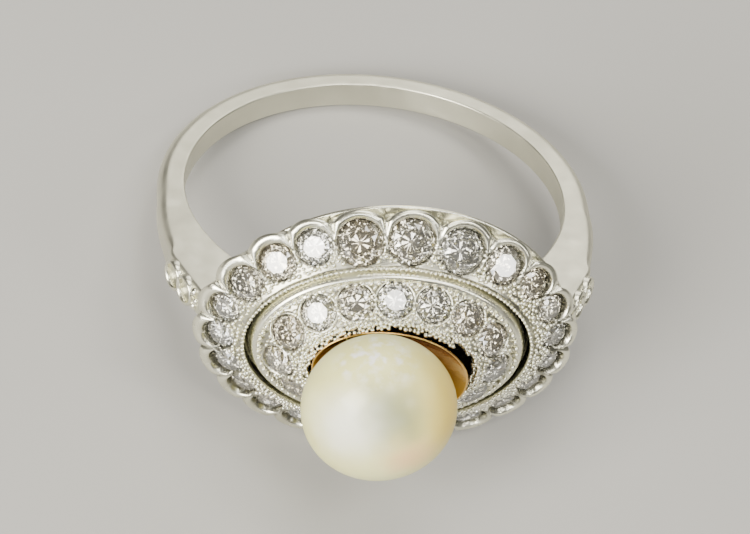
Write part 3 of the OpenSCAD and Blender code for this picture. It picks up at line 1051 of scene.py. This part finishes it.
def build_cup():
    """The shallow oval dish of gold with its rolled rim, and its stem."""
    t = np.linspace(0, 2 * math.pi, 160, endpoint=False)
    turn = np.array(Matrix.Rotation(math.radians(CUP_TURN), 3, "Z"))
    rings = [oval(CUP_A * r, CUP_B * r, t, CUP_H + h) @ turn.T for r, h, _ in CUP_SECTION]
    cup = rings_mesh("gold_cup", rings, GOLD, caps=True, painted_shade=[dark for *_, dark in CUP_SECTION])
    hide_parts("pearl_cup")
    stem_rings = [oval(STEM_R, STEM_R, t[::4], h) for h in STEM_ENDS]
    stem = rings_mesh("cup_stem", stem_rings, GOLD, caps=True)


def build_pearl():
    """A button pearl, never quite even."""
    u = np.linspace(0, 2 * math.pi, PEARL_COLS, endpoint=False)
    uneven = sum(part * np.cos(count * u + phase) for part, count, phase in PEARL_WAVES)
    rings = []
    for i in range(PEARL_ROWS + 1):
        v = PEARL_POLE + (math.pi - 2 * PEARL_POLE) * i / PEARL_ROWS
        r = PEARL_R * math.sin(v) * (1 + math.sin(v) ** 2 * uneven)
        ring = oval(r, r, u, PEARL_H - PEARL_HALF_T * math.cos(v))
        rings.append(ring - (PEARL_SHIFT, 0, 0))
    piece = rings_mesh("button_pearl", rings, NACRE, caps=True)
    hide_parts("pearl")


# Build

HALO_SEATS = halo_seats()
TIER_SEATS = tier_seats()

build_shank()
build_halo(HALO_SEATS)
build_hole_walls("halo_hole_walls", HALO_SEATS, [halo_hole_depth(seat) for seat in HALO_SEATS])
build_rail()
build_tier(TIER_SEATS)
build_hole_walls("tier_hole_walls", TIER_SEATS, [TIER_HOLE_DEPTH] * TIER_STONES)
build_grains("halo_grains", HALO_SEATS, halo_bed(seed=21), outer_r=0.15, inner_r=0.13, seed=22)
build_grains("tier_grains", TIER_SEATS, tier_bed(seed=23), outer_r=0.12, inner_r=0.11, seed=24)
build_collets([shoulder_seats(1), shoulder_seats(-1)])
for row in BEAD_ROWS:
    row_of_beads(*row)
build_collar()
build_cup()
build_pearl()
for node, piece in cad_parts.items():
    if "stone" in node:
        piece.data.materials.clear()
        piece.data.materials.append(DIAMOND)


# Camera: the photograph's view of the ring. Its angles about the ring are in degrees and its
# distance is in millimetres; the focal length and the finger hole's centre are in pixels.

IMAGE_W, IMAGE_H = 750, 534
YAW, ELEVATION, ROLL = -7.0, 35.5, -6.5
DISTANCE = 150.0
FOCAL_PX = 3345.0
CENTRE_PX = (373.5, 201.5)
SENSOR_W = 36.0


def add_camera():
    yaw, el, roll = (math.radians(v) for v in (YAW, ELEVATION, ROLL))
    view = Vector((math.sin(yaw) * math.cos(el), math.sin(el), math.cos(yaw) * math.cos(el)))
    right = Vector((math.cos(yaw), 0, -math.sin(yaw)))
    up = view.cross(right)
    image_right = right * math.cos(roll) - up * math.sin(roll)
    image_up = right * math.sin(roll) + up * math.cos(roll)
    across = (IMAGE_W / 2 - CENTRE_PX[0]) / FOCAL_PX
    down = (CENTRE_PX[1] - IMAGE_H / 2) / FOCAL_PX
    forward = (-view + image_right * across + image_up * down).normalized()
    side = forward.cross(image_up).normalized()
    rotation = Matrix((side, side.cross(forward), -forward)).transposed()
    camera_data = bpy.data.cameras.new("camera")
    camera_data.sensor_width = SENSOR_W
    camera_data.lens = FOCAL_PX / IMAGE_W * SENSOR_W
    camera_data.clip_start = 0.01
    camera_data.clip_end = 20.0
    camera = bpy.data.objects.new("camera", camera_data)
    bpy.context.scene.collection.objects.link(camera)
    place = view * DISTANCE
    camera.matrix_world = Matrix.Translation(LIE @ place * MM) @ (LIE @ rotation).to_4x4()
    bpy.context.scene.camera = camera


# The pale floor and the studio's lights, in metres

FLOOR_HALF = 1.5

# Softboxes: name, place, size, watts and colour
LIGHTS = (
    ("key", (-0.28, -0.27, 0.23), 0.22, 4.0, (1.0, 0.96, 0.87)),
    ("low_key", (-0.24, -0.34, 0.07), 0.1, 0.28, (0.93, 0.96, 1.0)),
    ("overhead", (0.0, 0.14, 0.5), 0.24, 1.2, (1.0, 0.965, 0.88)),
    ("spark_1", (0.06, -0.2, 0.4), 0.12, 0.6, (1.0, 0.98, 0.9)),
    ("spark_2", (0.2, -0.1, 0.4), 0.1, 0.4, (1.0, 0.98, 0.93)),
    ("spark_3", (-0.08, -0.4, 0.3), 0.1, 0.4, (0.97, 0.98, 1.0)),
    ("fill", (0.3, -0.3, 0.3), 0.1, 0.5, (1.0, 0.975, 0.91)),
    ("back", (0.1, 0.45, 0.26), 0.32, 0.85, (1.0, 0.965, 0.88)),
)
WORLD_COLOUR = (1.0, 0.985, 0.95, 1.0)
WORLD_STRENGTH = 0.17


def add_floor():
    low = CAD_BOUNDS[0][2]
    mesh = bpy.data.meshes.new("floor")
    signs = (-1, -1), (1, -1), (1, 1), (-1, 1)
    corners = [(x * FLOOR_HALF, y * FLOOR_HALF, low) for x, y in signs]
    mesh.from_pydata(corners, [], [(0, 1, 2, 3)])
    mesh.materials.append(floor_paint("floor_paint"))
    floor = bpy.data.objects.new("floor", mesh)
    bpy.context.scene.collection.objects.link(floor)


def add_light(name, place, size, watts, colour):
    """A square softbox that looks at the ring."""
    data = bpy.data.lights.new(name, "AREA")
    data.size = size
    data.energy = watts
    data.color = colour
    light = bpy.data.objects.new(name, data)
    light.location = place
    light.rotation_euler = (-Vector(place)).to_track_quat("-Z", "Y").to_euler()
    bpy.context.scene.collection.objects.link(light)


def add_world():
    world = bpy.data.worlds.new("studio")
    world.use_nodes = True
    background = world.node_tree.nodes["Background"]
    background.inputs["Color"].default_value = WORLD_COLOUR
    background.inputs["Strength"].default_value = WORLD_STRENGTH
    bpy.context.scene.world = world


add_camera()
add_floor()
for light in LIGHTS:
    add_light(*light)
add_world()
